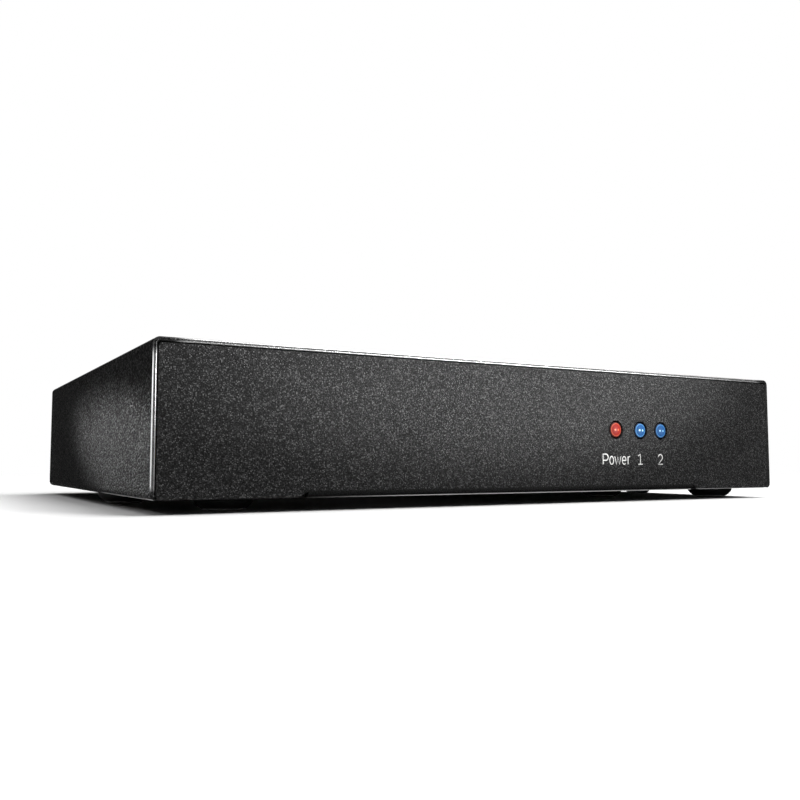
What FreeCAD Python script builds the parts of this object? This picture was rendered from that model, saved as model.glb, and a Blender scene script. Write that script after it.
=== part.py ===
import FreeCAD, Part
import math
import os

# A two-way DVI splitter: a flat folded-steel case on low rubber feet.  The front
# wall carries three indicator lamps.  The rear wall carries a power jack, one
# input socket and two output sockets, each socket between two jack posts.
# Inside, one circuit board on four standoffs holds all of them.
#
# Millimetres, +Z up, front wall towards -Y, rear wall towards +Y.  The origin is
# on the ground, under the middle of the whole object.

# Case, folded from steel sheet
case_depth = 107.0
case_height = 25.0
sheet = 0.7
cover_fold = 0.45           # inside radius of the cover's folds
tray_fold = 0.3             # inside radius of the tray's folds
seam = 0.2                  # hairline between the cover's cut edge and the tray
lip_width = 25.5            # the cover's two lips, turned in under the case
ear_lift = 0.1              # a wall's ends stop this far above the underside
ear_slant = 1.8             # run of the sloping cut where a wall's ends begin
wall_cut = 0.4              # cut off a wall's outer corners, clear of the cover's folds
joggle_run = 1.6            # run of the step from the tray's floor to a flange
joggle_relief = 3.0         # clear of the front and rear folds
flange_reach = 14.0         # how far a flange lies over its lip

# Rubber feet, stuck on by hand: insets are from a side, setbacks from the front
foot_diameter = 9.8
foot_height = 2.2
foot_flat = 5.6             # flat patch on the ground
foot_skirt = 1.1            # straight part under the case
front_left_foot_inset = 14.5
front_right_foot_inset = 9.4
front_foot_setback = 9.5
middle_left_foot_inset = 5.8
middle_left_foot_setback = 45.0
middle_right_foot_inset = 30.7
middle_right_foot_setback = 23.2
rear_foot_inset = 19.0
rear_foot_setback = 10.0    # this one from the rear

# Pan-head machine screws
shank_sides = 8             # shanks and their holes are out of sight: few flat sides
screw_thread = 3.0
screw_head_diameter = 5.6
screw_head_height = 1.5
screw_clearance = 0.2       # round a shank in a plain hole
thread_gap = 0.05           # round a shank in a threaded hole
cover_screw_length = 3.6
cover_screw_inset = 18.0    # from the side of the case
cover_screw_setback = 24.0  # from the front or rear
board_screw_length = 4.6

# Circuit board and its standoffs
board_thickness = 1.6
board_side_gap = 4.2
board_front_gap = 2.8
board_rear_gap = 0.3
standoff_height = 4.0
standoff_across_flats = 5.0
standoff_inset = 8.0        # from the edge of the tray's floor
standoff_front = 9.0        # from the board's front edge
standoff_rear = 36.0        # from the board's rear edge
lead_hole_gap = 0.15        # round a lead in its board hole

# Indicator lamps
lamp_diameter = 3.2
lamp_dome = 0.45            # rise of the domed face
lamp_length = 5.3
lamp_proud = 0.3
lamp_gap = 0.3              # round a lamp in its hole
lamp_height = 12.55         # above the underside of the case
lamp_first = 23.1           # red lamp, from the middle of the case
lamp_steps = (0.0, 6.85, 12.8)
lamp_lead = 0.5
lamp_lead_spacing = 2.54
lamp_lead_bend = 2.2        # behind the lamp, where the leads turn down
lead_tail = 1.0             # below the board

# DVI sockets
socket_lift = 6.1           # centre of the mouth above the board
mouth_side_gap = 1.8        # from the tongue's ends to the mouth
mouth_height = 8.6
mouth_taper_run = 1.6       # the lower half narrows by this at each side
mouth_taper_rise = 4.0
mouth_corner = 1.2
shell_wall = 0.5
shell_depth = 5.7           # from the flange's face to the mouth's rim
shell_gap = 0.3             # round a shell in the rear wall
flange_end = 2.8            # from a post's middle to the flange's end
flange_height = 12.2
flange_plate = 0.8
post_margin = 4.3           # from the mouth's side to a post's middle
collar_across_flats = 5.0
collar_depth = 2.5
leg_depth = 8.0
leg_height = 9.0
peg_width = 2.0
block_side_gap = 0.2        # how much narrower than the mouth, at each side
block_depth = 12.5
block_height = 11.2
tongue_height = 5.8
tongue_setback = 0.9        # behind the mouth's rim

# DVI contacts
contact_pitch = 1.905
contact_rows = 3
contact_columns = 8
contact_size = 0.5
contact_hole = 0.9
contact_setback = 1.0       # behind the tongue's face
contact_margin = 1.7        # first column from the tongue's end
tail_pitch = 1.9            # between rows of tails on the board
tail_start = 0.8            # nearest row behind the block
blade_width = 3.2
blade_slot_width = 3.6
blade_gap = 2.965           # slot's middle from the last column
blade_margin = 2.8          # slot's middle from the tongue's other end

# Jack posts, number 4-40 thread
post_across_flats = 4.75
post_length = 5.0
post_thread = 2.84
post_bore_depth = 4.2

# Power jack, for a 5.5 mm plug on a 2.1 mm pin
jack_width = 9.0
jack_height = 11.0
jack_depth = 14.2
jack_face_depth = 3.4
jack_barrel_diameter = 8.6
jack_axis_height = 6.4      # above the board
jack_bore_diameter = 6.3
jack_bore_depth = 10.0
jack_pin_diameter = 2.1
jack_pin_root = 3.0         # where the pin is held in the body
jack_pin_setback = 0.8
jack_base_height = 3.4
jack_proud = 0.4
jack_gap = 0.2
jack_spring_width = 2.0
jack_spring_thickness = 0.3
jack_tail_width = 1.6
jack_tail_thickness = 0.5
jack_spring_tail = 6.4      # from the jack's back to the spring's tail

# Rear wall, side by side: jack, input, output 1, output 2
rear_margin = 4.4           # from each side of the case to the first piece
jack_spacing = 4.0          # from the jack to the first flange
flange_spacing = 2.2        # from flange to flange
socket_count = 3

# Parts soldered on the board
chip_size = 12.0
chip_height = 0.9
memory_width = 3.9
memory_length = 4.9
memory_height = 1.5
memory_setback = 28.0
regulator_width = 6.5
regulator_depth = 6.1
regulator_height = 2.3
regulator_tab_inset = 0.6   # from the body's sides
regulator_tab_reach = 1.5
regulator_tab_thickness = 0.6
inductor_size = 7.0
inductor_height = 4.2
inductor_cut = 1.4          # cut off each corner
capacitor_length = 7.3
capacitor_width = 4.3
capacitor_height = 2.8
power_spacing = 9.5         # between the middles of the power parts
power_inset = 2.2           # of their row from the jack's middle
crystal_length = 11.0
crystal_width = 4.6
crystal_height = 3.4
crystal_cut = 1.5           # cut off each corner
resistor_length = 1.6
resistor_width = 0.8
resistor_height = 0.5
resistor_pitch = 2.4
resistor_count = 6
resistor_setback = 24.0

# Places that follow from the sizes
V = FreeCAD.Vector
tiny = 1e-6
contacts_width = (contact_columns - 1) * contact_pitch
tongue_width = contact_margin + contacts_width + blade_gap + blade_margin
mouth_width = tongue_width + 2 * mouth_side_gap
block_width = mouth_width - 2 * block_side_gap
post_spacing = mouth_width + 2 * post_margin
flange_width = post_spacing + 2 * flange_end
socket_pitch = flange_width + flange_spacing
sockets_width = socket_count * flange_width + (socket_count - 1) * flange_spacing
case_width = 2 * rear_margin + jack_width + jack_spacing + sockets_width
half_width = case_width / 2
rear_reach = max(post_length, shell_depth - sheet)
front_y = -(lamp_proud + case_depth + rear_reach) / 2 + lamp_proud
rear_y = front_y + case_depth
underside_z = foot_height
top_z = underside_z + case_height
floor_z = underside_z + sheet
wall_top_z = top_z - sheet - seam
wall_half = half_width - sheet - seam
tray_half = half_width - lip_width - seam
floor_half = tray_half - joggle_run
tray_front_y = front_y + sheet
tray_rear_y = rear_y - sheet
board_z = floor_z + standoff_height
board_top_z = board_z + board_thickness
board_half = half_width - sheet - board_side_gap
board_front_y = tray_front_y + board_front_gap
flange_rear_y = tray_rear_y - flange_plate
board_rear_y = flange_rear_y - board_rear_gap
tail_z = board_z - lead_tail
lamp_z = underside_z + lamp_height
socket_z = board_top_z + socket_lift
jack_x = half_width - rear_margin - jack_width / 2
jack_z = board_top_z + jack_axis_height
block_rear_y = flange_rear_y - block_depth
stud_length = sheet + flange_plate + collar_depth


def box(x0, x1, y0, y1, z0, z1):
    """A plain block between two opposite corners."""
    return Part.makeBox(x1 - x0, y1 - y0, z1 - z0, V(x0, y0, z0))


def rod(x, y, z, radius, length, axis=V(0, 0, 1)):
    """A round rod that starts at a point and runs along an axis."""
    return Part.makeCylinder(radius, length, V(x, y, z), axis)


def rounded_wire(corners, place):
    """A closed outline from corners (u, v, radius); place turns u, v into a point."""
    edges = []
    joints = []
    count = len(corners)
    for i, (u, v, radius) in enumerate(corners):
        before = corners[i - 1]
        after = corners[(i + 1) % count]
        to_before = V(before[0] - u, before[1] - v, 0).normalize()
        to_after = V(after[0] - u, after[1] - v, 0).normalize()
        half_angle = to_before.getAngle(to_after) / 2
        reach = radius / math.tan(half_angle)
        corner = V(u, v, 0)
        start = corner + to_before * reach
        end = corner + to_after * reach
        middle = corner
        if radius > 0:
            inward = (to_before + to_after).normalize()
            middle = corner + inward * (radius / math.sin(half_angle) - radius)
        joints.append((start, middle, end))
    for i, (start, middle, end) in enumerate(joints):
        following = joints[(i + 1) % count][0]
        if start.distanceToPoint(end) > tiny:
            points = [place(p.x, p.y) for p in (start, middle, end)]
            edges.append(Part.Arc(*points).toShape())
        if end.distanceToPoint(following) > tiny:
            edges.append(Part.makeLine(place(end.x, end.y), place(following.x, following.y)))
    return Part.Wire(edges)


def prism_along_y(corners, y0, y1):
    """Corners (x, z, radius) drawn across the case and carried from y0 to y1."""
    wire = rounded_wire(corners, lambda u, v: V(u, y0, v))
    return Part.Face(wire).extrude(V(0, y1 - y0, 0))


def prism_along_x(corners, x0, x1):
    """Corners (y, z, radius) drawn in a side view and carried from x0 to x1."""
    wire = rounded_wire(corners, lambda u, v: V(x0, u, v))
    return Part.Face(wire).extrude(V(x1 - x0, 0, 0))


def prism_along_z(corners, z0, z1):
    """Corners (x, y, radius) drawn in plan and carried from z0 to z1."""
    wire = rounded_wire(corners, lambda u, v: V(u, v, z0))
    return Part.Face(wire).extrude(V(0, 0, z1 - z0))


def polygon(u, v, reach, sides):
    """Sharp corners of a regular outline; reach is from its middle to a corner."""
    angles = [2 * math.pi / sides * step for step in range(sides)]
    return [(u + reach * math.cos(a), v + reach * math.sin(a), 0) for a in angles]


def hexagon(u, v, across_flats):
    """Sharp corners of a hexagon for a spanner of the given size."""
    return polygon(u, v, across_flats / 2 / math.cos(math.pi / 6), 6)


def cut_rectangle(u0, u1, v0, v1, cut):
    """Sharp corners of a rectangle whose corners are cut off at 45 degrees."""
    return [(u0, v0 + cut, 0), (u0 + cut, v0, 0), (u1 - cut, v0, 0), (u1, v0 + cut, 0),
            (u1, v1 - cut, 0), (u1 - cut, v1, 0), (u0 + cut, v1, 0), (u0, v1 - cut, 0)]


def rectangle(u0, u1, v0, v1, radius):
    """Corners of a rectangle that all have one radius."""
    return [(u0, v0, radius), (u1, v0, radius), (u1, v1, radius), (u0, v1, radius)]


def shank_z(x, y, z0, z1, gap=0.0):
    """A screw's shank, or the hole round it, from z0 up to z1."""
    return prism_along_z(polygon(x, y, screw_thread / 2 + gap, shank_sides), z0, z1)


def stud_y(x, y0, y1, gap=0.0):
    """A jack post's stud, or the hole round it, from y0 back to y1."""
    return prism_along_y(polygon(x, socket_z, post_thread / 2 + gap, shank_sides), y0, y1)


def turned(profile, x, y, z):
    """A solid turned about a vertical axis from (radius, height) points and arcs.

    A point given with a third value, a (radius, height) pair, is reached by an
    arc through that pair.
    """
    edges = []
    here = V(profile[0][0], 0, profile[0][1])
    for step in profile[1:] + [profile[0][:2]]:
        there = V(step[0], 0, step[1])
        if len(step) == 3:
            through = V(step[2][0], 0, step[2][1])
            edges.append(Part.Arc(here, through, there).toShape())
        elif here.distanceToPoint(there) > tiny:
            edges.append(Part.makeLine(here, there))
        here = there
    solid = Part.Face(Part.Wire(edges)).revolve(V(0, 0, 0), V(0, 0, 1), 360)
    solid.translate(V(x, y, z))
    return solid


def joined(shapes):
    """One solid from shapes that touch or overlap, without the seams between them."""
    return shapes[0].multiFuse(shapes[1:]).removeSplitter()


def group(shapes):
    """Separate solids kept together as one set of identical pieces."""
    return Part.makeCompound(shapes)


def mirrored(shape):
    """The same shape on the other side of the case."""
    return shape.mirror(V(0, 0, 0), V(1, 0, 0))


# Places used by more than one piece

def cover_screw_places():
    """The four cover screws, through lip and flange."""
    x = half_width - cover_screw_inset
    ys = (front_y + cover_screw_setback, rear_y - cover_screw_setback)
    return [(side * x, y) for side in (-1, 1) for y in ys]


def standoff_places():
    """The four standoffs, on the tray's floor."""
    x = floor_half - standoff_inset
    ys = (board_front_y + standoff_front, board_rear_y - standoff_rear)
    return [(side * x, y) for side in (-1, 1) for y in ys]


def lamp_places():
    """Across the front wall: power, output 1, output 2."""
    return [lamp_first + step for step in lamp_steps]


def socket_places():
    """Across the rear wall, seen from behind left to right: input, output 1, output 2."""
    last = -half_width + rear_margin + flange_width / 2
    return [last + step * socket_pitch for step in reversed(range(socket_count))]


def contact_places(x):
    """Columns of one socket, counted from the end away from the blade."""
    first = x + tongue_width / 2 - contact_margin
    return [first - column * contact_pitch for column in range(contact_columns)]


def contact_levels():
    """Rows of one socket with the place of their tails, the top row farthest back."""
    middle = (contact_rows - 1) / 2
    levels = []
    for row in range(contact_rows):
        z = socket_z + (row - middle) * contact_pitch
        tail_y = block_rear_y - tail_start - row * tail_pitch
        levels.append((z, tail_y))
    return levels


def blade_x(x):
    """Middle of one socket's blade slot."""
    return x - tongue_width / 2 + blade_margin


def leg_offsets():
    """Inner and outer face of a socket's leg, from the socket's middle."""
    return block_width / 2, block_width / 2 + flange_plate


# Case

def make_wrap_cover():
    """Top, both sides and two lips under the case, folded from one sheet."""
    outside = cover_fold + sheet
    skin = prism_along_y(
        rectangle(-half_width, half_width, underside_z, top_z, outside), front_y, rear_y)
    hollow = prism_along_y(
        rectangle(-half_width + sheet, half_width - sheet, floor_z, top_z - sheet, cover_fold),
        front_y, rear_y)
    lip_edge = half_width - lip_width
    opening = box(-lip_edge, lip_edge, front_y, rear_y, underside_z, floor_z)
    cuts = [hollow, opening]
    for y0, y1 in ((front_y, tray_front_y + seam), (tray_rear_y - seam, rear_y)):
        cuts.append(box(-wall_half, wall_half, y0, y1, underside_z, floor_z + cover_fold))
    for x, y in cover_screw_places():
        cuts.append(shank_z(x, y, underside_z, floor_z, screw_clearance))
    return skin.cut(cuts)


def wall_outline():
    """Front or rear wall of the tray: full width, with ears that reach down past the fold."""
    ear_z = underside_z + ear_lift
    fold_z = floor_z + tray_fold
    slant_end = tray_half + ear_slant
    right = [(tray_half, fold_z, 0), (slant_end, ear_z, 0),
             (wall_half - wall_cut, ear_z, 0), (wall_half, ear_z + wall_cut, 0),
             (wall_half, wall_top_z - wall_cut, 0), (wall_half - wall_cut, wall_top_z, 0)]
    left = [(-x, z, 0) for x, z, _ in reversed(right)]
    return right + left


def tray_flange():
    """Step up from the tray's floor and the flange that lies on the right lip."""
    rise = underside_z + sheet
    lean = sheet * math.tan(math.atan2(sheet, joggle_run) / 2)
    reach = tray_half + seam + flange_reach
    return prism_along_y(
        [(floor_half - joggle_run, underside_z, 0), (floor_half, underside_z, 0),
         (tray_half, rise, 0), (reach, rise, 0), (reach, rise + sheet, 0),
         (tray_half - lean, rise + sheet, 0), (floor_half - lean, rise, 0),
         (floor_half - joggle_run, rise, 0)],
        tray_front_y + joggle_relief, tray_rear_y - joggle_relief)


def rear_wall_cuts():
    """Openings for the sockets, their jack posts and the power jack."""
    cuts = []
    for x in socket_places():
        opening = mouth_face(x, tray_rear_y, shell_wall + shell_gap, 0)
        cuts.append(opening.extrude(V(0, sheet, 0)))
        for side in (-1, 1):
            cuts.append(stud_y(x + side * post_spacing / 2, tray_rear_y, rear_y, screw_clearance))
    half = jack_width / 2 + jack_gap
    cuts.append(box(jack_x - half, jack_x + half, tray_rear_y, rear_y,
                    board_top_z - jack_gap, board_top_z + jack_height + jack_gap))
    return cuts


def make_base_tray():
    """Floor, front wall, rear wall and two side flanges, folded from one sheet."""
    outside = tray_fold + sheet
    channel = prism_along_x(
        [(front_y, wall_top_z, 0), (front_y, underside_z, outside),
         (rear_y, underside_z, outside), (rear_y, wall_top_z, 0),
         (tray_rear_y, wall_top_z, 0), (tray_rear_y, floor_z, tray_fold),
         (tray_front_y, floor_z, tray_fold), (tray_front_y, wall_top_z, 0)],
        -tray_half, tray_half)
    notch = box(floor_half - joggle_run, tray_half, tray_front_y + joggle_relief,
                tray_rear_y - joggle_relief, underside_z, floor_z)
    channel = channel.cut([notch, mirrored(notch)])
    walls = [prism_along_y(wall_outline(), front_y, tray_front_y),
             prism_along_y(wall_outline(), tray_rear_y, rear_y)]
    flange = tray_flange()
    tray = joined([channel] + walls + [flange, mirrored(flange)])
    cuts = rear_wall_cuts()
    for x in lamp_places():
        cuts.append(rod(x, front_y, lamp_z, lamp_diameter / 2 + lamp_gap, sheet, V(0, 1, 0)))
    cuts += [standoff_post(x, y) for x, y in standoff_places()]
    for x, y in cover_screw_places():
        cuts.append(shank_z(x, y, floor_z, floor_z + sheet, thread_gap))
    return tray.cut(cuts)


def make_foot(x, y):
    """A tapered rubber foot, stuck flat under the case."""
    radius = foot_diameter / 2
    return turned([(0, foot_height), (0, 0), (foot_flat / 2, 0),
                   (radius, foot_height - foot_skirt), (radius, foot_height)], x, y, 0)


def make_rubber_feet():
    """A front pair, a rear pair and one foot at each side between them."""
    places = ((-1, front_left_foot_inset, front_y + front_foot_setback),
              (1, front_right_foot_inset, front_y + front_foot_setback),
              (-1, middle_left_foot_inset, front_y + middle_left_foot_setback),
              (1, middle_right_foot_inset, front_y + middle_right_foot_setback),
              (-1, rear_foot_inset, rear_y - rear_foot_setback),
              (1, rear_foot_inset, rear_y - rear_foot_setback))
    return group([make_foot(side * (half_width - inset), y) for side, inset, y in places])


def pan_screw(x, y, seat_z, length, up):
    """A pan-head screw whose head rests on seat_z; up is +1 with the head on top."""
    z0, z1 = sorted((seat_z, seat_z - up * length))
    head = rod(x, y, seat_z, screw_head_diameter / 2, screw_head_height, V(0, 0, up))
    return joined([head, shank_z(x, y, z0, z1)])


def make_standoff(x, y):
    """A hexagonal standoff swaged flush into the tray's floor, threaded from above."""
    hole_z = board_top_z - board_screw_length - thread_gap
    return standoff_post(x, y).cut(shank_z(x, y, hole_z, board_z, thread_gap))


def standoff_post(x, y):
    """The outside of a standoff, from the underside of the case up to the board."""
    return prism_along_z(hexagon(x, y, standoff_across_flats), underside_z, board_z)


# Board

def board_holes():
    """Everything that passes through the board."""
    holes = []
    for x, y in standoff_places():
        holes.append(shank_z(x, y, board_z, board_top_z, screw_clearance))
    lead_half = lamp_lead / 2 + lead_hole_gap
    for x in lamp_places():
        for side in (-1, 1):
            lead_x = x + side * lamp_lead_spacing / 2
            holes.append(box(lead_x - lead_half, lead_x + lead_half, lamp_tail_y() - lead_half,
                             lamp_tail_y() + lead_half, board_z, board_top_z))
    for x in socket_places():
        holes += socket_board_holes(x)
    tail_half = jack_tail_width / 2 + lead_hole_gap
    for y in jack_tail_places():
        holes.append(box(jack_x - tail_half, jack_x + tail_half, y - tail_half, y + tail_half,
                         board_z, board_top_z))
    return holes


def socket_board_holes(x):
    """Holes for the pegs of one socket's legs."""
    holes = []
    inner, outer = leg_offsets()
    peg_y = peg_start_y()
    for side in (-1, 1):
        x0, x1 = sorted((x + side * inner, x + side * outer))
        holes.append(box(x0 - lead_hole_gap, x1 + lead_hole_gap, peg_y - lead_hole_gap,
                         peg_y + peg_width + lead_hole_gap, board_z, board_top_z))
    return holes


def make_circuit_board():
    """The one board of the splitter."""
    board = box(-board_half, board_half, board_front_y, board_rear_y, board_z, board_top_z)
    return board.cut(board_holes())


# Indicator lamps

def lamp_tail_y():
    """Where a lamp's leads turn down to the board."""
    return front_y - lamp_proud + lamp_length + lamp_lead_bend


def make_lamp(x):
    """A clear lamp body with a shallow dome, pointing to the front."""
    radius = lamp_diameter / 2
    shoulder = lamp_length - lamp_dome
    curve = (radius * radius + lamp_dome * lamp_dome) / (2 * lamp_dome)
    quarter = math.asin(radius / curve) / 2
    middle = (curve * math.sin(quarter), lamp_length - curve * (1 - math.cos(quarter)))
    lamp = turned([(0, 0), (radius, 0), (radius, shoulder), (0, lamp_length, middle)], 0, 0, 0)
    lamp.rotate(V(0, 0, 0), V(1, 0, 0), 90)
    lamp.translate(V(x, front_y - lamp_proud + lamp_length, lamp_z))
    return lamp


def make_lamp_leads(x):
    """Two square leads that leave the lamp, turn down and pass through the board."""
    half = lamp_lead / 2
    back_y = front_y - lamp_proud + lamp_length
    tail_y = lamp_tail_y()
    leads = []
    for side in (-1, 1):
        lead_x = x + side * lamp_lead_spacing / 2
        leads.append(prism_along_x(
            [(back_y, lamp_z - half, 0), (tail_y - half, lamp_z - half, 0),
             (tail_y - half, tail_z, 0), (tail_y + half, tail_z, 0),
             (tail_y + half, lamp_z + half, 0), (back_y, lamp_z + half, 0)],
            lead_x - half, lead_x + half))
    return group(leads)


# DVI sockets

def mouth_corners(x, corner):
    """Outline of a socket's mouth: straight above, drawn in towards the bottom."""
    half = mouth_width / 2
    top = socket_z + mouth_height / 2
    bottom = socket_z - mouth_height / 2
    low = half - mouth_taper_run
    waist = bottom + mouth_taper_rise
    return [(x - half, top, corner), (x + half, top, corner), (x + half, waist, 0),
            (x + low, bottom, corner), (x - low, bottom, corner), (x - half, waist, 0)]


def mouth_face(x, y, grown, corner=mouth_corner):
    """The mouth's outline, moved outwards by a wall or a gap, as a flat face."""
    face = Part.Face(rounded_wire(mouth_corners(x, corner), lambda u, v: V(u, y, v)))
    if grown > 0:
        keep_sharp = 2
        face = face.makeOffset2D(grown, keep_sharp)
    return face


def peg_start_y():
    """Front side of the pegs, under the middle of the legs."""
    return flange_rear_y - (leg_depth + peg_width) / 2


def make_socket_shell(x):
    """Drawn steel shell with its flange, two threaded collars and two legs with pegs."""
    low = socket_z - flange_height / 2
    plate = box(x - flange_width / 2, x + flange_width / 2, flange_rear_y, tray_rear_y,
                low, low + flange_height)
    tube = mouth_face(x, tray_rear_y, shell_wall).extrude(V(0, shell_depth, 0))
    solids = [plate, tube]
    inner, outer = leg_offsets()
    peg_y = peg_start_y()
    for side in (-1, 1):
        post_x = x + side * post_spacing / 2
        solids.append(prism_along_y(hexagon(post_x, socket_z, collar_across_flats),
                                    flange_rear_y - collar_depth, flange_rear_y))
        x0, x1 = sorted((x + side * inner, x + side * outer))
        solids.append(box(x0, x1, flange_rear_y - leg_depth, flange_rear_y,
                          board_top_z, board_top_z + leg_height))
        solids.append(box(x0, x1, peg_y, peg_y + peg_width, tail_z, board_top_z))
    shell = joined(solids)
    cuts = [mouth_face(x, flange_rear_y, 0).extrude(V(0, flange_plate + shell_depth, 0))]
    for side in (-1, 1):
        cuts.append(stud_y(x + side * post_spacing / 2, flange_rear_y - collar_depth,
                           tray_rear_y, thread_gap))
    return shell.cut(cuts)


def tongue_face_y():
    """The tongue's face, just inside the mouth's rim."""
    return tray_rear_y + shell_depth - tongue_setback


def make_socket_insulator(x):
    """Moulded block on the board with the tongue that holds the contacts."""
    block = box(x - block_width / 2, x + block_width / 2, block_rear_y, flange_rear_y,
                board_top_z, board_top_z + block_height)
    tongue = box(x - tongue_width / 2, x + tongue_width / 2, flange_rear_y, tongue_face_y(),
                 socket_z - tongue_height / 2, socket_z + tongue_height / 2)
    cuts = []
    half = contact_hole / 2
    for z, tail_y in contact_levels():
        for hole_x in contact_places(x):
            cuts.append(box(hole_x - half, hole_x + half, block_rear_y, tongue_face_y(),
                            z - half, z + half))
    slot = blade_slot_width / 2
    cuts.append(box(blade_x(x) - slot, blade_x(x) + slot, block_rear_y, tongue_face_y(),
                    socket_z - half, socket_z + half))
    return joined([block, tongue]).cut(cuts)


def contact_bar(x, width, z, tail_y):
    """One contact: straight through the tongue and block, then down onto the board."""
    half = contact_size / 2
    front = tongue_face_y() - contact_setback
    bar = box(x - width / 2, x + width / 2, tail_y + half, front, z - half, z + half)
    tail = box(x - half, x + half, tail_y - half, tail_y + half, board_top_z, z + half)
    return joined([bar, tail])


def make_socket_contacts(x):
    """All contacts of one socket: three rows of eight and the wide earth blade."""
    contacts = []
    for z, tail_y in contact_levels():
        for contact_x in contact_places(x):
            contacts.append(contact_bar(contact_x, contact_size, z, tail_y))
    contacts.append(contact_bar(blade_x(x), blade_width, socket_z, contact_levels()[0][1]))
    return group(contacts)


def make_jack_posts(x):
    """Two hexagonal posts that clamp a socket to the rear wall."""
    posts = []
    for side in (-1, 1):
        post_x = x + side * post_spacing / 2
        head = prism_along_y(hexagon(post_x, socket_z, post_across_flats),
                             rear_y, rear_y + post_length)
        stud = stud_y(post_x, rear_y - stud_length, rear_y)
        bore = rod(post_x, rear_y + post_length - post_bore_depth, socket_z, post_thread / 2,
                   post_bore_depth, V(0, 1, 0))
        posts.append(joined([head, stud]).cut(bore))
    return group(posts)


# Power jack

def jack_tail_places():
    """The pin's tail, behind the body, and the spring's tail, under the barrel."""
    back_y = rear_y + jack_proud - jack_depth
    return back_y - jack_tail_thickness / 2, back_y + jack_spring_tail


def make_jack_body():
    """Moulded jack: square face, round barrel behind it and a base on the board."""
    face_y = rear_y + jack_proud
    back_y = face_y - jack_depth
    half = jack_width / 2
    face = box(jack_x - half, jack_x + half, face_y - jack_face_depth, face_y,
               board_top_z, board_top_z + jack_height)
    barrel = rod(jack_x, back_y, jack_z, jack_barrel_diameter / 2, jack_depth, V(0, 1, 0))
    base = box(jack_x - half, jack_x + half, back_y, face_y, board_top_z,
               board_top_z + jack_base_height)
    bore = rod(jack_x, face_y - jack_bore_depth, jack_z, jack_bore_diameter / 2,
               jack_bore_depth, V(0, 1, 0))
    pin_hole = pin_root(back_y, face_y)
    return joined([face, barrel, base]).cut([bore, pin_hole, jack_spring_slot()])


def pin_root(y0, y1):
    """The held part of the pin, or the hole for it, from y0 back to y1."""
    return prism_along_y(polygon(jack_x, jack_z, jack_pin_root / 2, shank_sides), y0, y1)


def jack_spring_levels():
    """Lower and upper face of the spring, just under the wall of the bore."""
    top = jack_z - jack_bore_diameter / 2
    return top - jack_spring_thickness, top


def jack_spring_slot():
    """Channel under the bore where the spring lies, and the way down for its tail."""
    low, top = jack_spring_levels()
    half = jack_spring_width / 2
    face_y = rear_y + jack_proud
    channel = box(jack_x - half, jack_x + half, face_y - jack_bore_depth,
                  face_y - jack_pin_setback, low, jack_z)
    tail_half = jack_tail_width / 2
    tail_y = jack_tail_places()[1]
    shaft = box(jack_x - tail_half, jack_x + tail_half, tail_y - tail_half, tail_y + tail_half,
                board_top_z, low)
    return channel.fuse(shaft)


def make_jack_pin():
    """Centre pin in the bore, with a thicker root in the body and a tail behind it."""
    face_y = rear_y + jack_proud
    bottom_y = face_y - jack_bore_depth
    back_y = face_y - jack_depth
    root = pin_root(back_y, bottom_y)
    pin = rod(jack_x, bottom_y, jack_z, jack_pin_diameter / 2,
              jack_bore_depth - jack_pin_setback, V(0, 1, 0))
    half = jack_tail_width / 2
    tail = box(jack_x - half, jack_x + half, back_y - jack_tail_thickness, back_y,
               tail_z, jack_z + half)
    return joined([root, pin, tail])


def make_jack_spring():
    """Flat spring contact under the bore, with its tail through the board."""
    low, top = jack_spring_levels()
    half = jack_spring_width / 2
    face_y = rear_y + jack_proud
    strip = box(jack_x - half, jack_x + half, face_y - jack_bore_depth,
                face_y - jack_pin_setback, low, top)
    tail_half = jack_tail_width / 2
    tail_y = jack_tail_places()[1]
    tail = box(jack_x - tail_half, jack_x + tail_half, tail_y - tail_half, tail_y + tail_half,
               tail_z, low)
    return joined([strip, tail])


# Parts soldered on the board

def chip_place():
    """Middle of the splitter chip, on the middle of the board."""
    return 0.0, (board_front_y + board_rear_y) / 2


def make_splitter_chip():
    """The flat leadless package that copies one picture signal to two outputs."""
    x, y = chip_place()
    half = chip_size / 2
    return box(x - half, x + half, y - half, y + half, board_top_z, board_top_z + chip_height)


def make_memory_chips():
    """One small memory chip before each socket."""
    y = board_rear_y - memory_setback
    chips = []
    for x in socket_places():
        chips.append(box(x - memory_length / 2, x + memory_length / 2, y - memory_width / 2,
                         y + memory_width / 2, board_top_z, board_top_z + memory_height))
    return group(chips)


def power_place(step):
    """Places of the power parts, in a row before the power jack."""
    clear_y = rear_y + jack_proud - jack_depth
    return jack_x - power_inset, clear_y - (step + 0.5) * power_spacing


def make_inductor():
    """The power converter's shielded coil."""
    half = inductor_size / 2
    x, y = power_place(0)
    return prism_along_z(cut_rectangle(x - half, x + half, y - half, y + half, inductor_cut),
                         board_top_z, board_top_z + inductor_height)


def make_capacitors():
    """Two moulded capacitors, before and behind the power regulator."""
    blocks = []
    for step in (1, 3):
        x, y = power_place(step)
        blocks.append(box(x - capacitor_length / 2, x + capacitor_length / 2,
                          y - capacitor_width / 2, y + capacitor_width / 2,
                          board_top_z, board_top_z + capacitor_height))
    return group(blocks)


def make_regulator():
    """The power regulator with its solder tab."""
    x, y = power_place(2)
    body = box(x - regulator_width / 2, x + regulator_width / 2, y - regulator_depth / 2,
               y + regulator_depth / 2, board_top_z, board_top_z + regulator_height)
    tab_half = regulator_width / 2 - regulator_tab_inset
    tab = box(x - tab_half, x + tab_half, y + regulator_depth / 2,
              y + regulator_depth / 2 + regulator_tab_reach,
              board_top_z, board_top_z + regulator_tab_thickness)
    return joined([body, tab])


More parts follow.
